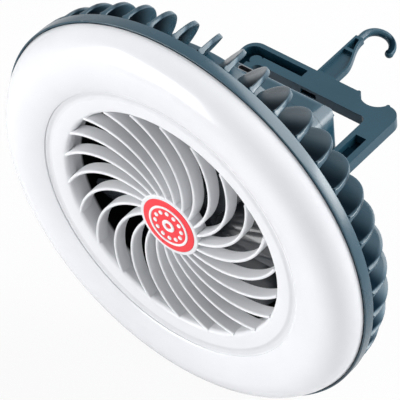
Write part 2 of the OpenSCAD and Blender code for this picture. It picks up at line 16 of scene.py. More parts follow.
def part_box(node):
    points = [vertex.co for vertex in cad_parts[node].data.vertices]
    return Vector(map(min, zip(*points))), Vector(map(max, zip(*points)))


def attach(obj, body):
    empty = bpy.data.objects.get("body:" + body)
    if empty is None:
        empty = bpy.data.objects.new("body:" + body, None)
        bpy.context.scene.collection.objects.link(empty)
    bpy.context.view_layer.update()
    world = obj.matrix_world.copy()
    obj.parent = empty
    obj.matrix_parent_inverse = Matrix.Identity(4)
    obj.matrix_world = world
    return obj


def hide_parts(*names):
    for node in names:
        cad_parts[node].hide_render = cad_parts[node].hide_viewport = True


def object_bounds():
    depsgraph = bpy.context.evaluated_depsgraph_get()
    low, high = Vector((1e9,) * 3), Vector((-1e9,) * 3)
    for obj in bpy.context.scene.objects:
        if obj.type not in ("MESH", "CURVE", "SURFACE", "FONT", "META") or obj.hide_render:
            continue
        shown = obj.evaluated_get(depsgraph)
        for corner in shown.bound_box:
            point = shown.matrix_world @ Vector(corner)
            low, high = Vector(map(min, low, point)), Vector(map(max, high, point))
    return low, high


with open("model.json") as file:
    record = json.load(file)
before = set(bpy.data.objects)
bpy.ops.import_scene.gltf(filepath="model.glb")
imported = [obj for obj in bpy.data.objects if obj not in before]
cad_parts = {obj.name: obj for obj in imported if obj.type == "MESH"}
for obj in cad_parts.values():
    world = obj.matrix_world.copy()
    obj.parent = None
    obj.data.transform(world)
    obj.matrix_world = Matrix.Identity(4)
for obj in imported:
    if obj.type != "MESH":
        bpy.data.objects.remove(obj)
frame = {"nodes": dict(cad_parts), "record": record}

CAD_BOX = [list(corner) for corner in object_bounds()]
MM = 0.001
print("nodes:", len(frame["nodes"]), "box:", CAD_BOX)

# %% [markdown]
# ## The fan's own frame
#
# A round product is easiest to describe along its axis. An Empty could hold that frame, but
# a function is shorter: `spot` turns a place given as (right, up, towards the front) into
# the model's frame. Depths are measured from the seam between the lamp and the rim, and the
# axis runs through the middle of the housing's box.

# %% Places along the fan axis
shell_low, shell_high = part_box("rear_shell")
_, lamp_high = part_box("diffuser_ring")
AXIS_Z = (shell_low[2] + shell_high[2]) / 2
SEAM_Y = lamp_high[1]
SEAM_R = 101 * MM


def spot(right, up, front):
    """A place in the model's frame from one along the fan axis, both in metres."""
    return Vector((right, SEAM_Y - front, AXIS_Z + up))


print("fan axis at height", round(AXIS_Z, 4), "seam plane at", round(SEAM_Y, 4))

# %% [markdown]
# ## The camera
#
# The photograph is a product shot through a long lens, from above and from the right of the
# fan, with the camera rolled a little. The angles and the distance come from fitting the
# circles of the lamp. A Track To constraint could aim the camera, but it would lose the
# roll, so the camera's three axes are written as a matrix. The lens is a focal length in
# millimetres for a sensor 36 mm wide.

# %% Camera
CAMERA_AZIMUTH = 43.75
CAMERA_ELEVATION = 44.86
CAMERA_ROLL = -6.22
CAMERA_DISTANCE = 1.574
CAMERA_FAR = 20
LENS = 321.2
SENSOR_WIDTH = 36
AIM_RIGHT = 7.8 * MM
AIM_UP = 5.8 * MM


def camera_axes(azimuth, elevation, roll):
    """The camera's right, up and backward directions."""
    a, e, r = (math.radians(v) for v in (azimuth, elevation, roll))
    back = Vector((math.cos(e) * math.sin(a), -math.cos(e) * math.cos(a), math.sin(e)))
    level = Vector((math.cos(a), math.sin(a), 0))
    rise = back.cross(level)
    right = level * math.cos(r) + rise * math.sin(r)
    return right, back.cross(right), back


right, up, back = camera_axes(CAMERA_AZIMUTH, CAMERA_ELEVATION, CAMERA_ROLL)
camera_data = bpy.data.cameras.new("camera")
camera_data.lens = LENS
camera_data.sensor_width = SENSOR_WIDTH
camera_data.clip_end = CAMERA_FAR
camera = bpy.data.objects.new("camera", camera_data)
bpy.context.scene.collection.objects.link(camera)
camera.matrix_world = Matrix((right, up, back)).transposed().to_4x4()
camera.location = spot(0, 0, 0) + AIM_RIGHT * right + AIM_UP * up + CAMERA_DISTANCE * back
bpy.context.scene.camera = camera
print("camera at", [round(v, 3) for v in camera.location])

# %% [markdown]
# ## Shader maths as sums
#
# A shader's patterns are sums, and the node editor shows them as a web of Math nodes. They
# are easier to read as sums, so `Wire` wraps a node's output: `1 - mask * 0.3` then adds the
# nodes for it.


# %% Sums of sockets
class Wire:
    """An output socket that can be used in sums."""

    def __init__(self, tree, socket):
        self.tree = tree
        self.socket = socket

    def maths(self, operation, first, second):
        node = self.tree.nodes.new("ShaderNodeMath")
        node.operation = operation
        for place, value in zip(node.inputs, (first, second)):
            if isinstance(value, Wire):
                self.tree.links.new(value.socket, place)
            else:
                place.default_value = value
        return Wire(self.tree, node.outputs[0])

    def __add__(self, other):
        return self.maths("ADD", self, other)

    def __radd__(self, other):
        return self.maths("ADD", other, self)

    def __sub__(self, other):
        return self.maths("SUBTRACT", self, other)

    def __rsub__(self, other):
        return self.maths("SUBTRACT", other, self)

    def __mul__(self, other):
        return self.maths("MULTIPLY", self, other)

    def __pow__(self, other):
        return self.maths("POWER", self, other)


print("sums: + - * ** on", Wire.__name__)

# %% [markdown]
# ## One material as one object
#
# Every finish here is a Principled shader with patterns in front of it. `Finish` holds one:
# its `node` method makes any node from a type, its sockets' values and its settings, and the
# other methods are the patterns that come back often. Patterns read Object coordinates, so
# they keep their real size on every piece and need no UV map.

# %% Finishes
MIX_FACTOR, MIX_A, MIX_B, MIX_RESULT = 0, 6, 7, 2


class Finish:
    """One material, built round a Principled shader."""

    def __init__(self, name):
        self.material = bpy.data.materials.new(name)
        self.material.use_nodes = True
        self.tree = self.material.node_tree
        self.shader = self.tree.nodes["Principled BSDF"]
        self.place = self.node("ShaderNodeTexCoord", out="Object")

    def node(self, kind, sockets=None, out=0, stops=None, **settings):
        """Adds a node: its settings first, then its sockets' values or links."""
        made = self.tree.nodes.new(kind)
        for name, value in settings.items():
            setattr(made, name, value)
        if stops:
            ramp = made.color_ramp.elements
            while len(ramp) < len(stops):
                ramp.new(0.5)
            for element, (position, colour) in zip(ramp, stops):
                element.position = position
                element.color = (*colour, 1)
        for name, value in (sockets or {}).items():
            if isinstance(value, Wire):
                self.tree.links.new(value.socket, made.inputs[name])
            else:
                made.inputs[name].default_value = value
        return Wire(self.tree, made.outputs[out])

    def noise(self, size, detail=2.0):
        """Noise whose lumps are about that big, in metres."""
        return self.node("ShaderNodeTexNoise", {"Vector": self.place, "Scale": 1 / size,
                                                "Detail": detail}, "Fac")

    def blend(self, factor, first, second):
        """A colour that goes from the first to the second by the factor."""
        ends = [end if isinstance(end, Wire) else (*end, 1) for end in (first, second)]
        return self.node("ShaderNodeMix", {MIX_FACTOR: factor, MIX_A: ends[0], MIX_B: ends[1]},
                         MIX_RESULT, data_type="RGBA")

    def bump(self, height, distance):
        """Feeds a bump of that height, in metres, to the shader's normal."""
        normal = self.node("ShaderNodeBump", {"Height": height, "Distance": distance})
        self.tree.links.new(normal.socket, self.shader.inputs["Normal"])

    def axis(self):
        """The height in front of the seam plane and the radius about the fan axis."""
        parts = self.node("ShaderNodeSeparateXYZ", {"Vector": self.place})
        right, back, up = (Wire(self.tree, part) for part in parts.socket.node.outputs)
        rise = up - AXIS_Z
        return SEAM_Y - back, (right * right + rise * rise) ** 0.5

    def ease(self, value, low, high):
        """A smooth step from 0 to 1 as the value goes from low to high."""
        return self.node("ShaderNodeMapRange", {"Value": value, "From Min": low, "From Max": high},
                         "Result", interpolation_type="SMOOTHSTEP")

    def set(self, **values):
        """Sets or links the shader's sockets; an underscore stands for a space."""
        for name, value in values.items():
            socket = self.shader.inputs[name.replace("_", " ")]
            if isinstance(value, Wire):
                self.tree.links.new(value.socket, socket)
            elif isinstance(value, tuple):
                socket.default_value = (*value, 1)
            else:
                socket.default_value = value
        return self.material


def linear(red, green, blue):
    """A colour read off a screen, 0 to 255, as the light values that shaders use."""
    return tuple(((v / 255 + 0.055) / 1.055) ** 2.4 for v in (red, green, blue))


print("a screen grey of 128 is this much light:", round(linear(128, 128, 128)[0], 3))

# %% [markdown]
# ## Moulded plastics
#
# Injection-moulded plastic is never quite even: the tool's fine grain shows as a shallow
# bump, the gloss wanders a little, and the colour shifts by a few per cent over the part. An
# image could give this, but noise needs no file and never repeats. One recipe with different
# colours and depths serves all the mouldings.
#
# A painted shade may darken some places. There the coat goes and Metallic rises, because a metal
# reflects only in its own colour: with a dark one, the plastic's grey sheen goes as well.

# %% Moulded plastic recipe
CLOUD_SIZE = 38 * MM
GRAIN_SIZE = 0.35 * MM
CLOUD_SHARE = 0.7
GRAIN_SHARE = 0.3
GLOSS_DRIFT = 0.12
SHADE_ROUGHER = 0.45
SHADE_METALLIC = 0.96


def moulded(name, light, dark, gloss, depth=0.004 * MM, painted_shade=None, **more):
    """A moulded plastic between two colours, with a grain of that depth."""
    paint = Finish(name)
    cloud = paint.noise(CLOUD_SIZE, detail=3)
    grain = paint.noise(GRAIN_SIZE)
    colour = paint.blend(cloud * CLOUD_SHARE + grain * GRAIN_SHARE, dark, light)
    paint.bump(grain, depth)
    rough = gloss + (cloud - 0.5) * GLOSS_DRIFT
    # Painted shade darkens some places and takes their sheen away.
    if painted_shade:
        colour, shade = painted_shade(paint, colour)
        rough = rough + shade * SHADE_ROUGHER
        more["Coat_Weight"] = (1 - shade) * more.get("Coat_Weight", 0.0)
        more["Metallic"] = shade * SHADE_METALLIC
    return paint.set(Base_Color=colour, Roughness=rough, **more)


print("clouds of", CLOUD_SIZE, "m over a grain of", GRAIN_SIZE, "m")

# %% [markdown]
# ## Shade where little light comes
#
# Deep inside the fan, at the feet of the fins and in the bracket's pockets the photograph is
# nearly black. Shadows alone leave these places grey here, because the white studio shows in
# their sheen. The shade could be painted on a UV map, but the places are simple to describe
# by their height along the fan axis and their radius. Each pair below is where a smooth step
# starts and where it ends.

# %% Shades by place
# Colours of painted shade: near-black for the depths, dark teal for the fins' feet and the pocket
# floors, grey for the groove.
SHADE_BLACK = linear(8, 10, 12)
TEAL_SHADE = linear(2, 24, 36)
GROOVE_SHADE = linear(206, 207, 210)
INSIDE_FRONT = (-2 * MM, 0)
INSIDE_BACK = (-26.4 * MM, -26 * MM)
INSIDE_EDGE = (74 * MM, 76 * MM)
FIN_FEET = (-24 * MM, -11 * MM)
RIM_BACK = (-5.6 * MM, -5.5 * MM)
FINS_INNER = (77 * MM, 78 * MM)
FINS_OUTER = (99.6 * MM, 100.8 * MM)
GROOVE_R = 69.3 * MM
GROOVE_W = 4.4 * MM
GROOVE_SHARE = 0.5
BRACKET_TOP = 104.8 * MM
POCKET_FLOOR = (BRACKET_TOP - 3.0 * MM, BRACKET_TOP - 2.1 * MM)
POCKET_SHARE = 0.9
FACES_UP = (0.6, 0.8)


def shade_inside(paint, colour):
    """Painted shade: blackens what lies deep inside the fan, behind the vanes."""
    height, radius = paint.axis()
    deep = (1 - paint.ease(height, *INSIDE_FRONT)) * (1 - paint.ease(radius, *INSIDE_EDGE))
    deep = deep * paint.ease(height, *INSIDE_BACK)
    return paint.blend(deep, colour, SHADE_BLACK), deep


def grille_shade(paint, colour):
    """Painted shade: blackens the depths, and greys the groove round the ring a little."""
    height, radius = paint.axis()
    inner = paint.ease(radius, GROOVE_R - GROOVE_W / 2, GROOVE_R - GROOVE_W / 4)
    outer = 1 - paint.ease(radius, GROOVE_R + GROOVE_W / 4, GROOVE_R + GROOVE_W / 2)
    colour, deep = shade_inside(paint, colour)
    return paint.blend(inner * outer * GROOVE_SHARE, colour, GROOVE_SHADE), deep


def housing_shade(paint, colour):
    """Painted shade: blackens the depths, and darkens the colour at the feet of the fins."""
    height, radius = paint.axis()
    foot = paint.ease(height, *FIN_FEET) * (1 - paint.ease(height, *RIM_BACK))
    ring = paint.ease(radius, *FINS_INNER) * (1 - paint.ease(radius, *FINS_OUTER))
    colour, deep = shade_inside(paint, colour)
    foot = foot * ring
    return paint.blend(foot, colour, TEAL_SHADE), deep + foot


def pocket_shade(paint, colour):
    """Painted shade: darkens the floors of the bracket's pockets, which face up."""
    normal = paint.node("ShaderNodeTexCoord", out="Normal")
    facing = paint.node("ShaderNodeSeparateXYZ", {"Vector": normal}, "Z")
    height = paint.node("ShaderNodeSeparateXYZ", {"Vector": paint.place}, "Z")
    floor = paint.ease(facing, *FACES_UP) * (1 - paint.ease(height, *POCKET_FLOOR))
    return paint.blend(floor * POCKET_SHARE, colour, TEAL_SHADE), floor


print("pocket floors shaded below", POCKET_FLOOR[1], "m, fin feet from", FIN_FEET[0], "m on")

# %% [markdown]
# ## The fan's plastics
#
# Housing, bracket and case are one teal with a little more or less gloss. The lamp's cover
# is a milky white under a soft coat, and the grille is a plain one. The colours start from
# the photograph's. Light and reflections change a colour, so they were corrected in test
# renders rather than taken over as they are.

# %% Plastics
TEAL_LIGHT, TEAL_DARK = linear(35, 72, 88), linear(23, 58, 73)
TEAL = moulded("housing_teal", TEAL_LIGHT, TEAL_DARK, 0.27, painted_shade=housing_shade,
               Coat_Weight=0.2, Coat_Roughness=0.14, Specular_IOR_Level=0.45)
TEAL_ARM = moulded("bracket_teal", TEAL_LIGHT, TEAL_DARK, 0.34, painted_shade=pocket_shade,
                   Coat_Weight=0.1, Coat_Roughness=0.14, Specular_IOR_Level=0.3)
CASE_TEAL = moulded("case_teal", TEAL_LIGHT, TEAL_DARK, 0.3,
                    Coat_Weight=0.3, Coat_Roughness=0.1, Specular_IOR_Level=0.32)
MILK = moulded("diffuser_white", linear(244, 245, 247), linear(230, 231, 235), 0.2,
               depth=0.001 * MM, Coat_Weight=0.6, Coat_Roughness=0.2)
GRILLE = moulded("grille_white", linear(238, 239, 241), linear(229, 230, 233), 0.36,
                 painted_shade=grille_shade)
IMPELLER = moulded("impeller_grey", linear(62, 66, 71), linear(44, 48, 53), 0.22,
                   Coat_Weight=0.4, Coat_Roughness=0.08)
RED = moulded("badge_red", linear(250, 60, 70), linear(240, 50, 60), 0.3, depth=0.001 * MM)
BADGE_WHITE = moulded("badge_white", linear(248, 248, 248), linear(240, 240, 240), 0.35)
BLACK = moulded("black_plastic", linear(30, 32, 34), linear(20, 22, 24), 0.5)
BUTTON = moulded("button_white", linear(238, 239, 240), linear(230, 231, 232), 0.3)
WRAP = moulded("cell_wrap", linear(60, 98, 190), linear(48, 84, 172), 0.3)
plastics = len(bpy.data.materials)
print("materials so far:", plastics)

# %% [markdown]
# ## Metals and boards
#
# Machined steel shows fine lines where the tool passed. They could be rings about each
# part's own axis, but most of these parts are inside the fan, so one noise squeezed along Z
# gives level lines on them all. A circuit board is a dull mask with a hint of tracks, drawn
# along the edges of Voronoi cells. The lamp's chips are a yellow resin.

# %% Metals and boards
LINE_SCALE = 900
LINE_SQUEEZE = 12
LINE_DEPTH = 0.004 * MM
TRACK_SCALE = 420
TRACK_STOPS = [(0.04, (1, 1, 1)), (0.1, (0, 0, 0))]
TRACK_DEPTH = 0.03 * MM


def metal(name, colour, gloss):
    """A machined metal with fine level lines."""
    paint = Finish(name)
    squeezed = paint.node("ShaderNodeMapping",
                          {"Vector": paint.place, "Scale": (1, 1, LINE_SQUEEZE)})
    lines = paint.node("ShaderNodeTexNoise",
                       {"Vector": squeezed, "Scale": LINE_SCALE, "Detail": 3}, "Fac")
    paint.bump(lines, LINE_DEPTH)
    shade = paint.blend(lines, tuple(0.82 * c for c in colour), colour)
    return paint.set(Base_Color=shade, Metallic=1.0, Roughness=gloss + lines * 0.15)


def board(name, mask, track):
    """A circuit board: tracks faintly raised under the solder mask."""
    paint = Finish(name)
    cells = paint.node("ShaderNodeTexVoronoi", {"Vector": paint.place, "Scale": TRACK_SCALE},
                       "Distance", feature="DISTANCE_TO_EDGE")
    lines = paint.node("ShaderNodeValToRGB", {"Fac": cells}, "Color", TRACK_STOPS)
    paint.bump(lines, TRACK_DEPTH)
    return paint.set(Base_Color=paint.blend(lines, mask, track), Roughness=0.42)


STEEL = metal("steel", linear(150, 152, 156), 0.25)
COPPER = metal("copper", linear(196, 120, 72), 0.3)
MAGNET = metal("magnet_dark", linear(70, 72, 76), 0.45)
GREEN = board("board_green", linear(26, 92, 60), linear(60, 130, 84))
WHITE_BOARD = board("board_white", linear(236, 237, 238), linear(214, 216, 218))
PHOSPHOR = moulded("chip_yellow", linear(250, 226, 130), linear(240, 210, 110), 0.25)
print("metals, boards and resin:", len(bpy.data.materials) - plastics)

# %% [markdown]
# ## Dressing the CAD pieces
#
# Pieces whose CAD shape is already right keep it and only take a finish. Each could be
# dressed by its own name, but the record gives every piece a slot, so one table from slot to
# finish dresses them all.

# %% Dress the CAD pieces
SLOT_FINISH = {
    "housing_teal": TEAL, "diffuser_white": MILK, "grille_white": GRILLE, "badge_red": RED,
    "badge_white": BADGE_WHITE, "impeller_grey": IMPELLER, "steel": STEEL, "board_green": GREEN,
    "board_white": WHITE_BOARD, "chip_yellow": PHOSPHOR, "copper": COPPER, "magnet_dark": MAGNET,
    "cell_wrap": WRAP, "black_plastic": BLACK, "button_white": BUTTON,
}
SLOT_OF = {part["node"]: part["material_slot"] for part in frame["record"]["subparts"]}


def dress(obj, finish):
    """Gives an object one finish all over."""
    obj.data.materials.clear()
    obj.data.materials.append(finish)


for name, node in frame["nodes"].items():
    dress(node, SLOT_FINISH[SLOT_OF[name]])
print("dressed:", len(frame["nodes"]))

# %% [markdown]
# ## Modelling by hand, in code
#
# The mouldings in plain view need softer edges than the CAD model gives. Each new piece
# starts as a primitive, is shaped in edit mode and ends as a plain mesh at the origin.
# `select`, `pick` and `whole` do what the mouse does: they choose pieces, or points of a
# piece by where they are. `hand_over` dresses a finished piece, lets it ride on its moving
# body and puts it in place of the CAD piece.


# %% Selecting and handing over
def select(*pieces):
    """Back to object mode with only these pieces selected, the first one active."""
    if bpy.context.object and bpy.context.object.mode == "EDIT":
        bpy.ops.object.mode_set(mode="OBJECT")
    bpy.ops.object.select_all(action="DESELECT")
    for piece in pieces:
        piece.select_set(True)
    if pieces:
        bpy.context.view_layer.objects.active = pieces[0]


def pick(obj, test, mode="VERT"):
    """Selects the points, edges or faces that pass the test."""
    bpy.ops.object.mode_set(mode="OBJECT")
    mesh = obj.data
    for parts in (mesh.vertices, mesh.edges, mesh.polygons):
        parts.foreach_set("select", [False] * len(parts))
    if mode == "VERT":
        for point in mesh.vertices:
            point.select = test(point.co)
    elif mode == "EDGE":
        for edge in mesh.edges:
            edge.select = test(*(mesh.vertices[v].co for v in edge.vertices))
    else:
        for face in mesh.polygons:
            face.select = test(face)
    bpy.ops.object.mode_set(mode="EDIT")
    bpy.ops.mesh.select_mode(type=mode)


def whole():
    """Selects every point of the piece in edit mode."""
    bpy.ops.mesh.select_mode(type="VERT")
    bpy.ops.mesh.select_all(action="SELECT")


def hand_over(obj, finish, body, *nodes):
    """Dresses a piece, lets it ride on its body and puts it in place of its CAD nodes."""
    dress(obj, finish)
    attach(obj, body)
    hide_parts(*nodes)
    print(obj.name, "is in place of", ", ".join(nodes))


print("new pieces can take", len(SLOT_OF), "places")

# %% [markdown]
# ## Round mouldings
#
# Most of this fan is round about one axis. Such a piece could be a Screw modifier on a
# curve, but an outline drawn point by point keeps each radius in plain sight. `draw` makes
# the outline by extruding one point, `arc` rounds its corners, and `lathe` spins it.

# %% Outlines and lathe
WELD = 0.001 * MM


def draw(name, points):
    """A closed outline through some places, in edit mode with everything selected."""
    select()
    bpy.ops.mesh.primitive_plane_add(size=MM)
    obj = bpy.context.object
    obj.name = obj.data.name = name
    bpy.ops.object.mode_set(mode="EDIT")
    bpy.ops.mesh.merge(type="CENTER")
    bpy.ops.transform.translate(value=points[0])
    for before, after in zip(points, points[1:] + points[:1]):
        bpy.ops.mesh.extrude_region_move(TRANSFORM_OT_translate={"value": after - before})
    whole()
    bpy.ops.mesh.remove_doubles(threshold=WELD)
    return obj


def finish_mesh(obj, angle=35, weld=WELD):
    """Welds doubles, turns the faces outwards and shades smooth up to an angle."""
    select(obj)
    bpy.ops.object.mode_set(mode="EDIT")
    whole()
    bpy.ops.mesh.remove_doubles(threshold=weld)
    bpy.ops.mesh.normals_make_consistent(inside=False)
    bpy.ops.object.mode_set(mode="OBJECT")
    bpy.ops.object.shade_smooth_by_angle(angle=math.radians(angle))
    print(obj.name, "faces:", len(obj.data.polygons))
    return obj


def arc(centre, radius, start, end, steps):
    """Points along an arc in the (radius, height) plane, from one angle to another."""
    angles = [math.radians(start + (end - start) * i / steps) for i in range(steps + 1)]
    return [(centre[0] + radius * math.cos(a), centre[1] + radius * math.sin(a))
            for a in angles]


def lathe(name, outline, steps=180):
    """A ring about the fan axis from a closed outline of (radius, height) points."""
    obj = draw(name, [spot(r, 0, z) for r, z in outline])
    bpy.ops.mesh.spin(steps=steps, angle=2 * math.pi, center=spot(0, 0, 0), axis=(0, -1, 0))
    return finish_mesh(obj)


print("points closer than", WELD, "m are welded")

# %% [markdown]
# ## The lamp's diffuser
#
# The milky cover of the ring lamp. A torus would be too even: its outline is two arcs that
# meet at the crest, a tight one outside and a wide one inside. It stops a hair short of the
# rim, which leaves the dark seam line of the photograph.

# %% Diffuser
CREST_H = 13 * MM
CREST_R = 85 * MM
LAMP_IN_R = 71.6 * MM
LAMP_T = 2 * MM
LAMP_EDGE = 0.1 * MM
SEAM_GAP = 0.4 * MM
OUTER_BEND = 16.2 * MM
INNER_BEND = 34.4 * MM


def lamp_profile(inset):
    """The diffuser's skin from its inner edge over the crest to the seam."""
    outer = (CREST_R, CREST_H - OUTER_BEND)
    inner = (CREST_R, CREST_H - INNER_BEND)
    reach = CREST_R - LAMP_IN_R - inset
    start = 90 + math.degrees(math.asin(reach / (INNER_BEND - inset)))
    end = math.degrees(math.asin((OUTER_BEND - CREST_H) / (OUTER_BEND - inset)))
    skin = (arc(inner, INNER_BEND - inset, start, 90, 10)
            + arc(outer, OUTER_BEND - inset, 90, end, 22)[1:])
    return [(r - SEAM_GAP * max(0, (r - CREST_R) / (SEAM_R - CREST_R)), z) for r, z in skin]


def diffuser():
    skin = lamp_profile(0)
    inside = lamp_profile(LAMP_T)
    edge_r, edge_z = skin[0]
    lip = arc((edge_r + LAMP_EDGE, edge_z - LAMP_EDGE), LAMP_EDGE, 180, 110, 2)
    outline = ([(edge_r, 0)] + lip + skin[1:] + [(skin[-1][0], 0)]
               + inside[::-1] + [(inside[0][0], 0)])
    return lathe("diffuser", outline, steps=240)


hand_over(diffuser(), MILK, "housing", "diffuser_ring")

# %% [markdown]
# ## Pieces that repeat, and cuts
#
# The housing has 24 air slots and 45 fins, each the same shape turned about the axis. An
# Array modifier with an Empty could turn them, but copies joined at once leave one plain
# mesh and no helper. A cut is the Boolean modifier, applied, with its tool removed.


# %% Copies and cuts
def turn(degrees):
    """A turn about the fan axis, counter-clockwise seen from the front."""
    centre = spot(0, 0, 0)
    return (Matrix.Translation(centre) @ Matrix.Rotation(math.radians(degrees), 4, (0, -1, 0))
            @ Matrix.Translation(-centre))


def round_angles(count, first=0):
    """Angles for that many pieces spaced evenly round the axis."""
    return [first + 360 * i / count for i in range(count)]


def joined(pieces):
    """Several pieces as one mesh, under the first one's name."""
    select(*pieces)
    bpy.ops.object.join()
    return pieces[0]


def copies(obj, angles):
    """Copies of a piece at some angles round the fan axis, joined into one mesh."""
    made = [obj]
    for angle in angles[1:]:
        twin = obj.copy()
        twin.data = obj.data.copy()
        bpy.context.scene.collection.objects.link(twin)
        twin.data.transform(turn(angle))
        made.append(twin)
    obj.data.transform(turn(angles[0]))
    return joined(made)


def apply(obj, kind, **settings):
    """Adds one modifier, sets it and applies it."""
    select(obj)
    modifier = obj.modifiers.new(kind.lower(), kind)
    for name, value in settings.items():
        setattr(modifier, name, value)
    bpy.ops.object.modifier_apply(modifier=modifier.name)
    return obj


def cut(obj, tool):
    """Cuts one piece out of another and deletes the tool."""
    apply(obj, "BOOLEAN", operation="DIFFERENCE", object=tool, solver="EXACT")
    bpy.data.objects.remove(tool)


def peg(radius, right, up, low, high, name):
    """A round bar along the fan axis, as a piece or to cut with."""
    select()
    bpy.ops.mesh.primitive_cylinder_add(vertices=32, radius=radius, depth=high - low,
                                        rotation=(math.pi / 2, 0, 0),
                                        location=spot(right, up, (low + high) / 2))
    bpy.ops.object.transform_apply()
    bpy.context.object.name = name
    return bpy.context.object


print("45 copies stand", round_angles(45)[1], "degrees apart")

# %% [markdown]
# ## The rear housing
#
# The teal rim, the drum behind it and the rear plate are one moulding on the real fan, so
# they are one turned outline with rounded edges. A narrow groove in the rim's front face
# takes the seam. The rear plate has its air slots cut through: each is a peg whose one side
# is drawn out along the radius.

# %% Rim, drum and rear plate
RIM_R = (shell_high[0] - shell_low[0]) / 2
RIM_W = 5.6 * MM
RIM_IN_R = 92 * MM
RIM_EDGE = 0.35 * MM
SHELL_T = 2.2 * MM
SHELL_BEND = 1.2 * MM
DRUM_R = 78 * MM
DRUM_DEPTH = 27 * MM
FLOOR = SHELL_T - DRUM_DEPTH
SEAM_W = 0.7 * MM
SEAM_DEPTH = 1.2 * MM
SEAM_DROP = 0.1 * MM
SLOT_COUNT = 24
SLOT_IN_R = 40.5 * MM
SLOT_OUT_R = 55.6 * MM
SLOT_W = 4 * MM
OVERCUT = 2 * MM


def shell_outline():
    edge, bend = RIM_EDGE, SHELL_BEND
    front = arc((RIM_R - edge, -edge), edge, 90, 0, 4)
    rear = arc((RIM_R - edge, edge - RIM_W), edge, 0, -90, 4)
    neck = arc((DRUM_R + bend, -RIM_W - bend), bend, 90, 180, 5)
    heel = arc((DRUM_R - bend, bend - DRUM_DEPTH), bend, 0, -90, 6)
    groove = [(SEAM_R - SEAM_W, 0), (SEAM_R - SEAM_W, -SEAM_DEPTH), (SEAM_R, -SEAM_DEPTH),
              (SEAM_R, -SEAM_DROP)]
    inside = [(0, FLOOR), (DRUM_R - SHELL_T, FLOOR), (DRUM_R - SHELL_T, SHELL_T - RIM_W),
              (RIM_IN_R, SHELL_T - RIM_W), (RIM_IN_R, 0)]
    return groove + front + rear + neck + heel + [(0, -DRUM_DEPTH)] + inside


def slot_tool():
    """A radial slot with round ends, as a tool to cut with, at azimuth 0."""
    obj = peg(SLOT_W / 2, SLOT_IN_R, 0, -DRUM_DEPTH - OVERCUT, FLOOR + OVERCUT, "slot_tool")
    pick(obj, lambda p: p.x > SLOT_IN_R + WELD)
    bpy.ops.transform.translate(value=(SLOT_OUT_R - SLOT_IN_R, 0, 0))
    select()
    return obj


shell_body = lathe("rear_housing", shell_outline())
cut(shell_body, copies(slot_tool(), round_angles(SLOT_COUNT)))
print("faces with", SLOT_COUNT, "slots cut:", len(shell_body.data.polygons))

# %% [markdown]
# ## One petal fin
#
# The housing carries a ring of thin petals. One petal's outline is half of a fat oval. It
# could be drawn point by point, but the Bevel tool already knows this curve: two corners of
# a plane bevelled by half its width give it, and the profile sets how full it is. A second
# bevel rounds the border. Each face is then dished: one inset, then three steps inwards, each
# smaller than the last. At the foot the petal widens, which stands for the fillet that joins
# it to the rim.

# %% One petal
FIN_T = 2.4 * MM
FIN_L = 34 * MM
FIN_H = 22 * MM
FIN_FULL = 0.53
FIN_BORDER = 0.45 * MM
FIN_SINK = 0.8 * MM
FIN_FOOT = ((0, 1.3 * MM), (1 * MM, 0.6 * MM), (2.4 * MM, 0.2 * MM), (5 * MM, 0))
DISH_INSET = 1.5 * MM
DISH_START = 0.12 * MM
DISH_STEPS = ((0.82, 0.24), (0.72, 0.18), (0.5, 0.08))
DISH_MIDDLE = (0, FIN_H * 0.45, 0)
NEAR = 0.01 * MM


def petal_blank():
    """A flat petal: its foot along X, its height along Y, its thickness along Z."""
    select()
    bpy.ops.mesh.primitive_plane_add(size=2)
    obj = bpy.context.object
    obj.name = obj.data.name = "petal"
    pick(obj, lambda p: p.y < 0)
    bpy.ops.transform.translate(value=(0, 1, 0))
    pick(obj, lambda p: p.y > 0.5)
    bpy.ops.mesh.bevel(offset=0.999, segments=12, profile=FIN_FULL, affect="VERTICES",
                       clamp_overlap=False)
    whole()
    bpy.ops.mesh.remove_doubles(threshold=0.003)
    bpy.ops.transform.resize(value=(FIN_L / 2, FIN_H, 1), center_override=(0, 0, 0))
    whole()
    bpy.ops.mesh.extrude_region_move(TRANSFORM_OT_translate={"value": (0, 0, FIN_T)})
    whole()
    bpy.ops.transform.translate(value=(0, 0, -FIN_T / 2))
    bpy.ops.mesh.normals_make_consistent(inside=False)
    pick(obj, lambda a, b: abs(a.z - b.z) < 0.1 * MM and max(a.y, b.y) > NEAR, "EDGE")
    bpy.ops.mesh.bevel(offset=FIN_BORDER, segments=3, clamp_overlap=False)
    return obj


def dish(obj, side):
    """Dishes the petal's broad face on one side, 1 for +Z and -1 for -Z."""
    pick(obj, lambda face: face.normal.z * side > 0.99 and face.area > FIN_L * FIN_H / 3, "FACE")
    bpy.ops.mesh.inset(thickness=DISH_INSET, depth=-DISH_START)
    for share, depth in DISH_STEPS:
        inwards = (0, 0, -side * depth * MM)
        bpy.ops.mesh.extrude_region_move(TRANSFORM_OT_translate={"value": inwards})
        bpy.ops.transform.resize(value=(share, share, 1), center_override=DISH_MIDDLE)


def widen_foot(obj):
    """Flares the petal towards its foot and sinks it a little into the rim."""
    for height, _ in FIN_FOOT[1:]:
        whole()
        bpy.ops.mesh.bisect(plane_co=(0, height, 0), plane_no=(0, 1, 0))
    for height, flare in FIN_FOOT:
        pick(obj, lambda p: abs(p.y - height) < NEAR)
        bpy.ops.transform.resize(value=(1, 1, 1 + 2 * flare / FIN_T), center_override=(0, 0, 0))
    pick(obj, lambda p: p.y < NEAR)
    bpy.ops.mesh.extrude_region_move(TRANSFORM_OT_translate={"value": (0, -FIN_SINK, 0)})


fin = petal_blank()
dish(fin, 1)
dish(fin, -1)
widen_foot(fin)
finish_mesh(fin, 50)

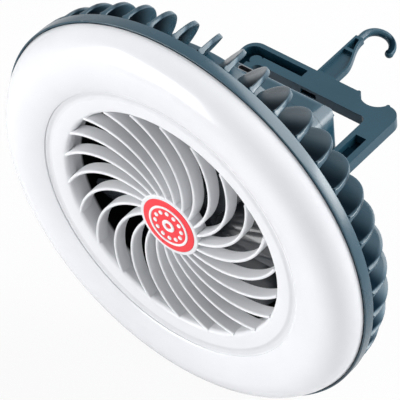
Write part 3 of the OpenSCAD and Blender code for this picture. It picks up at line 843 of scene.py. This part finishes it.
# %% [markdown]
# ## The ring of fins
#
# Each petal stands on the rim's rear face and slants back from the radius, as the blades of
# an iris do. A turn and a shift could be typed into the object, but the export wants each
# piece at the origin, so a matrix moves the mesh itself. A peg as wide as the drum cuts off
# what would stick through its wall, before the copies are made.

# %% Petals round the housing
FIN_COUNT = 45
FIN_SLANT = 25
FIN_PHASE = 1.4
FIN_START_R = RIM_R - 0.6 * MM


def petal_place():
    """The move that stands a petal on the rim at azimuth 0, slanting back from the radius."""
    slant = math.radians(180 - FIN_SLANT)
    along = Vector((math.cos(slant), 0, math.sin(slant)))
    behind = Vector((0, 1, 0))
    start = spot(FIN_START_R, 0, -RIM_W) + along * (FIN_L / 2)
    turned = Matrix((along, behind, along.cross(behind))).transposed().to_4x4()
    return Matrix.Translation(start) @ turned


fin.data.transform(petal_place())
cut(fin, peg(DRUM_R - SHELL_T / 2, 0, 0, FLOOR - SHELL_T / 2, MM, "drum_tool"))
fins = copies(fin, round_angles(FIN_COUNT, FIN_PHASE))
hand_over(finish_mesh(joined([shell_body, fins]), 40), TEAL, "housing", "rear_shell")

# %% [markdown]
# ## The grille's ring and hub
#
# The white ring narrows to the opening in a soft funnel, and a shallow groove runs round its
# face. The groove could be a bump in the material, but it is broad enough to catch light on
# one side and shade on the other, so it is in the outline, as one wave of a cosine. The hub
# has a seat for the badge.

# %% Ring and hub
OPEN_R = 59.6 * MM
GRILLE_H = 9.4 * MM
FUNNEL_BEND = 2.2 * MM
FUNNEL_DROP = 2.4 * MM
GROOVE_DEPTH = 0.4 * MM
GROOVE_STEPS = 16
FACE_RISE = 0.25 * MM
RING_R = LAMP_IN_R - 0.04 * MM
RING_EDGE = 0.08 * MM
RING_RISE = 0.35 * MM
RING_DEPTH = 3 * MM
TUBE_T = 1.8 * MM
TUBE_TOP = GRILLE_H - 4 * MM
HUB_R = 16.4 * MM
HUB_LOW = 2.2 * MM
HUB_CHAMFER = 0.5 * MM
HUB_EDGE = 0.7 * MM
BADGE_R = 14.4 * MM
SEAT_R = BADGE_R + 0.1 * MM
SEAT_Z = GRILLE_H - MM


def grille_ring():
    funnel = arc((OPEN_R + FUNNEL_BEND, GRILLE_H - FUNNEL_DROP), FUNNEL_BEND, 180, 98, 8)
    shares = [2 * i / GROOVE_STEPS - 1 for i in range(GROOVE_STEPS + 1)]
    groove = [(GROOVE_R + GROOVE_W / 2 * t, GRILLE_H + FACE_RISE
               - GROOVE_DEPTH * (1 + math.cos(math.pi * t)) / 2) for t in shares]
    lip = arc((RING_R - RING_EDGE, GRILLE_H + RING_RISE), RING_EDGE, 90, 0, 2)
    under = [(RING_R, GRILLE_H - RING_DEPTH), (OPEN_R + TUBE_T, TUBE_TOP), (OPEN_R + TUBE_T, 0)]
    return lathe("grille", [(OPEN_R, 0)] + funnel + groove + lip + under, steps=240)


def grille_hub():
    foot = [(0, HUB_LOW), (HUB_R - HUB_CHAMFER, HUB_LOW), (HUB_R, HUB_LOW + HUB_CHAMFER)]
    edge = arc((HUB_R - HUB_EDGE, GRILLE_H - HUB_EDGE), HUB_EDGE, 0, 90, 5)
    seat = [(SEAT_R, GRILLE_H), (SEAT_R, SEAT_Z), (0, SEAT_Z)]
    return lathe("grille_hub", foot + edge + seat, steps=120)


print("grille opening", OPEN_R, "m, hub", HUB_R, "m")

# %% [markdown]
# ## The vanes
#
# The vanes run in one sweep from the ring to the hub, and each is an arc of a circle. A vane
# could be a bent bar on a curve, but an arc needs no curve: its section, a bar with a round
# front edge, is spun about the centre of the circle through the vane's two ends and middle.
# The ends reach a little into the ring and the hub, so no gap shows.

# %% Vanes
VANE_COUNT = 22
VANE_T = 1.6 * MM
VANE_LOW = 2.8 * MM
VANE_HIGH = 9.2 * MM
VANE_SWEEP = 47
VANE_PHASE = 6.5
VANE_REACH = 1.0 * MM


def polar(radius, degrees):
    """A place in the plane of the grille from a radius and an angle."""
    angle = math.radians(degrees)
    return Vector((radius * math.cos(angle), radius * math.sin(angle)))


def circle_through(a, b, c):
    """The centre of the circle through three places in the plane."""
    first, second = b - a, c - a
    span = 2 * (first.x * second.y - first.y * second.x)
    square_1, square_2 = first.dot(first), second.dot(second)
    return a + Vector((second.y * square_1 - first.y * square_2,
                       first.x * square_2 - second.x * square_1)) / span


def vane():
    """One vane, from inside the ring to inside the hub."""
    outer, inner = polar(OPEN_R, 0), polar(HUB_R, -VANE_SWEEP)
    middle = polar((OPEN_R + HUB_R) / 2, -VANE_SWEEP / 2)
    centre = circle_through(outer, middle, inner)
    bend = (outer - centre).length
    start = math.atan2(outer.y - centre.y, outer.x - centre.x)
    end = math.atan2(inner.y - centre.y, inner.x - centre.x)
    reach = VANE_REACH / bend * (1 if start > end else -1)
    heading = start + reach
    half = VANE_T / 2
    nose = arc((0, VANE_HIGH - half), half, 0, 180, 8)
    section = [(half, VANE_LOW)] + nose + [(-half, VANE_LOW)]
    obj = draw("vane", [spot(centre.x + (bend + offset) * math.cos(heading),
                             centre.y + (bend + offset) * math.sin(heading), height)
                        for offset, height in section])
    bpy.ops.mesh.edge_face_add()
    bpy.ops.mesh.spin(steps=22, angle=start - end + 2 * reach,
                      center=spot(centre.x, centre.y, 0), axis=(0, -1, 0))
    return finish_mesh(obj, 40)


def grille():
    sheaf = copies(vane(), round_angles(VANE_COUNT, VANE_PHASE))
    return joined([grille_ring(), grille_hub(), sheaf])


hand_over(grille(), GRILLE, "housing", "front_grille")

# %% [markdown]
# ## The badge
#
# A flat red disc with a rounded edge sits in the hub. The white mark on it could be an
# image, but the part carries no picture or name, so two plain rings and a circle of dots
# stand for it, raised a little and softened at their edges.

# %% Badge
BADGE_Z = GRILLE_H + 0.2 * MM
BADGE_EDGE = 0.3 * MM
MARK_Z = BADGE_Z + 0.4 * MM
MARK_R = BADGE_R - 3.4 * MM
MARK_W = 1.2 * MM
MARK_EDGE = 0.15 * MM
EYE_R = 3.4 * MM
EYE_W = 1.8 * MM
DOT_COUNT = 12
DOT_R = 1.1 * MM
DOT_RING_R = MARK_R - 3.6 * MM


def badge():
    edge = arc((BADGE_R - BADGE_EDGE, BADGE_Z - BADGE_EDGE), BADGE_EDGE, 0, 90, 4)
    outline = [(0, SEAT_Z), (BADGE_R, SEAT_Z)] + edge + [(0, BADGE_Z)]
    return lathe("badge", outline, steps=96)


def mark_ring(outer, inner):
    """A flat ring with softened edges, raised a little over the badge."""
    soft = MARK_EDGE
    outline = [(outer, BADGE_Z - soft), (outer, MARK_Z - soft), (outer - soft, MARK_Z),
               (inner + soft, MARK_Z), (inner, MARK_Z - soft), (inner, BADGE_Z - soft)]
    return lathe("mark", outline, steps=96)


def mark_dot():
    dot = peg(DOT_R, DOT_RING_R, 0, BADGE_Z - MARK_EDGE, MARK_Z, "dot")
    pick(dot, lambda face: face.normal.y < -0.9, "FACE")
    bpy.ops.mesh.bevel(offset=MARK_EDGE, segments=2)
    return finish_mesh(dot)


def mark():
    dots = copies(mark_dot(), round_angles(DOT_COUNT))
    return joined([mark_ring(MARK_R, MARK_R - MARK_W), mark_ring(EYE_R, EYE_R - EYE_W), dots])


hand_over(badge(), RED, "housing", "hub_badge")
hand_over(mark(), BADGE_WHITE, "housing", "badge_inlay")

# %% [markdown]
# ## Mouldings with softened edges
#
# The bracket, the battery case with its cover and the impeller keep the outlines of the CAD
# model, so modelling them again would gain nothing. A copy of the mesh is welded, its flat
# faces are cleared of triangles, and a small bevel on every sharp edge gives the line of
# light that a moulded edge has. Weighted normals keep the flat faces flat beside it.

# %% Softened copies
FLAT_ANGLE = 0.6
SHARP_ANGLE = 38
COPY_WELD = 0.002 * MM
BEVEL_WELD = 0.0005 * MM


def softened(node, name, width, segments=2):
    """A copy of a CAD node with its sharp edges rounded."""
    obj = bpy.data.objects.new(name, frame["nodes"][node].data.copy())
    bpy.context.scene.collection.objects.link(obj)
    select(obj)
    bpy.ops.object.mode_set(mode="EDIT")
    whole()
    bpy.ops.mesh.remove_doubles(threshold=COPY_WELD)
    bpy.ops.mesh.dissolve_limited(angle_limit=math.radians(FLAT_ANGLE))
    apply(obj, "BEVEL", limit_method="ANGLE", angle_limit=math.radians(SHARP_ANGLE),
          width=width, segments=segments)
    finish_mesh(obj, 40, BEVEL_WELD)
    return apply(obj, "WEIGHTED_NORMAL", keep_sharp=True, weight=100)


hand_over(softened("bracket_frame", "bracket", 0.5 * MM, 3), TEAL_ARM, "bracket", "bracket_frame")
hand_over(softened("battery_case", "case", 1.2 * MM, 4), CASE_TEAL, "housing", "battery_case")
hand_over(softened("rear_cover", "cover", 1.2 * MM, 4), CASE_TEAL, "housing", "rear_cover")
hand_over(softened("impeller", "fan_wheel", 0.3 * MM), IMPELLER, "rotor", "impeller")

# %% [markdown]
# ## The studio floor
#
# The photograph is a cut-out on white. The floor could be left out, but then the fan would
# hang in the air without a shadow. So a pale floor takes the shadow, and a Light Path node
# lets it glow nearly white for the camera, and less for reflections.

# %% Floor
FLOOR_SIZE = 6.0
FLOOR_DROP = 0.2 * MM
FLOOR_GLOW = 0.93
FLOOR_SHINE = 0.3
SEEN_RAYS = [f"Is {kind} Ray" for kind in ("Camera", "Glossy", "Transmission")]


def studio_floor():
    """A pale floor that runs to the horizon, nearly white to the camera."""
    select()
    bpy.ops.mesh.primitive_plane_add(size=FLOOR_SIZE,
                                     location=(0, 0, CAD_BOX[0][2] - FLOOR_DROP))
    floor = bpy.context.object
    floor.name = "floor"
    bpy.ops.object.transform_apply()
    paint = Finish("floor")
    tone = paint.blend(paint.noise(60 * MM), linear(204, 204, 205), linear(212, 212, 213))
    dress(floor, paint.set(Base_Color=tone, Roughness=0.8))
    glow = paint.node("ShaderNodeEmission", {"Color": (1, 1, 1, 1), "Strength": 1.0})
    camera_ray, glossy, through = (paint.node("ShaderNodeLightPath", out=ray)
                                   for ray in SEEN_RAYS)
    seen = (camera_ray + glossy * FLOOR_SHINE + through) * FLOOR_GLOW
    plain = Wire(paint.tree, paint.shader.outputs[0])
    mix = paint.node("ShaderNodeMixShader", {0: seen, 1: plain, 2: glow})
    paint.tree.links.new(mix.socket, paint.tree.nodes["Material Output"].inputs["Surface"])
    print("floor", FLOOR_DROP, "m under the fan")


studio_floor()

# %% [markdown]
# ## World and lamps
#
# The same trick serves the world: camera and reflections see pure white, while as a light it
# is only a weak, even fill. The lamps shape the form. Two stand in front of the fan, a strong
# key and a weak fill, and two behind it, a large panel and a small one. An image of a studio
# could do all this, but four soft boxes can be moved and dimmed one by one.


# %% World and lamps
def world_light(strength, seen):
    """An even pale surround, white where the camera or a reflection sees it."""
    world = bpy.data.worlds.new("studio")
    bpy.context.scene.world = world
    world.use_nodes = True
    nodes, links = world.node_tree.nodes, world.node_tree.links
    soft = nodes["Background"]
    soft.inputs["Color"].default_value = (0.94, 0.96, 1.0, 1)
    soft.inputs["Strength"].default_value = strength
    white = nodes.new("ShaderNodeBackground")
    white.inputs["Color"].default_value = (1, 1, 1, 1)
    white.inputs["Strength"].default_value = seen
    path = nodes.new("ShaderNodeLightPath")
    mix = nodes.new("ShaderNodeMixShader")
    camera_ray, glossy, through = (Wire(world.node_tree, path.outputs[ray])
                                   for ray in SEEN_RAYS)
    links.new((camera_ray + glossy + through).socket, mix.inputs["Fac"])
    links.new(soft.outputs[0], mix.inputs[1])
    links.new(white.outputs[0], mix.inputs[2])
    links.new(mix.outputs[0], nodes["World Output"].inputs["Surface"])


LAMP_AIM = Vector((0, -0.04, 0.1))


def lamp(name, place, size, power):
    """A rectangular soft box that faces the fan, with its power in watts."""
    data = bpy.data.lights.new(name, "AREA")
    data.shape = "RECTANGLE"
    data.size, data.size_y = size
    data.energy = power
    obj = bpy.data.objects.new(name, data)
    obj.location = place
    obj.rotation_euler = (LAMP_AIM - Vector(place)).to_track_quat("-Z", "Y").to_euler()
    bpy.context.scene.collection.objects.link(obj)
    print("lamp", name, power, "W")


world_light(strength=0.26, seen=1.0)
lamp("key", (-0.9, -1.4, 0.4), (1.3, 1.0), 26)
lamp("fill", (0.9, -1.0, 1.4), (1.1, 1.1), 1.5)
lamp("panel_right", (0.65, 1.04, 0.96), (1.7, 1.5), 44)
lamp("panel_side", (1.15, 0.75, 0.36), (0.5, 0.6), 8)

# %% [markdown]
# ## Finish
#
# The render shows the colours through the Standard view transform.

# %% View transform
scene = bpy.context.scene
scene.view_settings.view_transform = "Standard"
